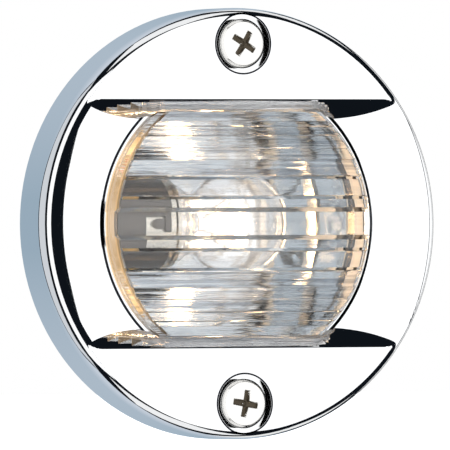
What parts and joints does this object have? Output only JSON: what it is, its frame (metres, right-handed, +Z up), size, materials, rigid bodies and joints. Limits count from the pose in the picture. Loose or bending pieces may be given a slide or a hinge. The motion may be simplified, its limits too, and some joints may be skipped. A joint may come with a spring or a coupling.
{
  "type": "navigation light",
  "caption": "Round flush-mount boat stern light: chromed two-screw cover with a cross channel, ribbed clear lens, bayonet globe bulb in a recessed cup.",
  "frame": {"origin": "centre of the cup where it enters the transom, on the mounting face", "axes": "+Y into the transom along the cup, so the lens faces -Y; +Z up through the upper screw; +X to the right seen from the front"},
  "size_m": [0.0762, 0.0369, 0.0762],
  "materials": {
    "chrome_plate": "polished chrome plate on a zinc casting",
    "clear_lens": "clear moulded lens, polished",
    "white_plastic": "moulded white plastic",
    "rubber_seal": "matt black seal rubber",
    "bright_reflector": "bright dimpled aluminium",
    "nickel_brass": "nickel-plated pressed brass",
    "brass": "turned brass",
    "fibre_board": "brown insulating fibre",
    "spring_steel": "spring wire",
    "bulb_glass": "thin clear blown glass",
    "insulator_black": "black glassy insulator",
    "solder": "dull solder",
    "nickel_wire": "nickel wire",
    "tungsten": "glowing coiled wire",
    "stainless": "stainless steel",
    "tinned_copper": "tinned copper pressing",
    "red_pvc": "red wire insulation",
    "black_pvc": "black wire insulation"
  },
  "bodies": {
    "housing": {"housing": "white_plastic", "mounting_gasket": "rubber_seal", "lens_gasket": "rubber_seal", "reflector": "bright_reflector", "socket_shell": "nickel_brass", "socket_bracket": "nickel_brass", "bracket_rivets": "brass", "contact_spring": "spring_steel", "terminal_studs": "brass", "terminal_washers": "stainless", "terminal_nuts": "stainless", "lead_lugs": "tinned_copper", "lead_positive": "red_pvc", "lead_negative": "black_pvc"},
    "carrier": {"contact_carrier": "fibre_board", "contact_tips": "brass"},
    "bulb": {"bulb_glass": "bulb_glass", "bulb_base": "nickel_brass", "bulb_pins": "brass", "bulb_insulator": "insulator_black", "bulb_contacts": "solder", "bulb_stem": "bulb_glass", "filament_supports": "nickel_wire", "filament": "tungsten"},
    "cover": {"cover": "chrome_plate", "lens": "clear_lens"},
    "top_screw": {"screw_top": "stainless"},
    "bottom_screw": {"screw_bottom": "stainless"}
  },
  "joints": [
    {"name": "cover_lift", "type": "slide", "parent": "housing", "child": "cover", "axis": [0, -1, 0], "range_m": [0, 0.035]},
    {"name": "screw_top_out", "type": "slide", "parent": "cover", "child": "top_screw", "axis": [0, -1, 0], "range_m": [0, 0.028]},
    {"name": "screw_bottom_out", "type": "slide", "parent": "cover", "child": "bottom_screw", "axis": [0, -1, 0], "range_m": [0, 0.028]},
    {"name": "contact_push", "type": "slide", "parent": "housing", "child": "carrier", "axis": [-1, 0, 0], "range_m": [0, 0.0012], "stiffness_N_per_m": 900, "springref_m": -0.0008, "deforming": ["contact_spring", "lead_positive", "lead_negative"]},
    {"name": "bulb_twist", "type": "hinge", "parent": "carrier", "child": "bulb", "pos_m": [0, 0.0034, 0], "axis": [1, 0, 0], "range_deg": [0, 20]}
  ]
}
